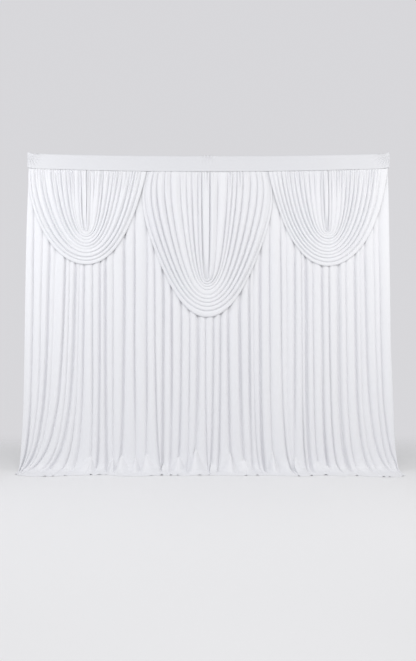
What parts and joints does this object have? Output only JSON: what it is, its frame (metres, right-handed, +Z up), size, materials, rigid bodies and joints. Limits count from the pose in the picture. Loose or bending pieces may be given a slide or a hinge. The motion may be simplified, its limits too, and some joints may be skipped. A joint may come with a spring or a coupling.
{
  "type": "swagged drapery backdrop",
  "caption": "White drapery backdrop: a gathered floor-length curtain with draped swags in front, sewn into one heading band that is an open pocket for a rod.",
  "frame": {"origin": "middle of the heading's top edge, where the rod carries the pocket", "axes": "+X to the right along the heading as seen from the front, +Y towards the back, +Z up; the front faces -Y"},
  "size_m": [3.138, 0.324, 2.643],
  "materials": {
    "heading_cloth": "matte white knitted polyester, doubled",
    "curtain_cloth": "matte white knitted polyester with a faint sheen",
    "swag_cloth": "matte white knitted polyester with a faint sheen"
  },
  "bodies": {
    "root": {"heading": "heading_cloth", "curtain": "curtain_cloth", "swag_left": "swag_cloth", "swag_centre": "swag_cloth", "swag_right": "swag_cloth"}
  },
  "joints": []
}
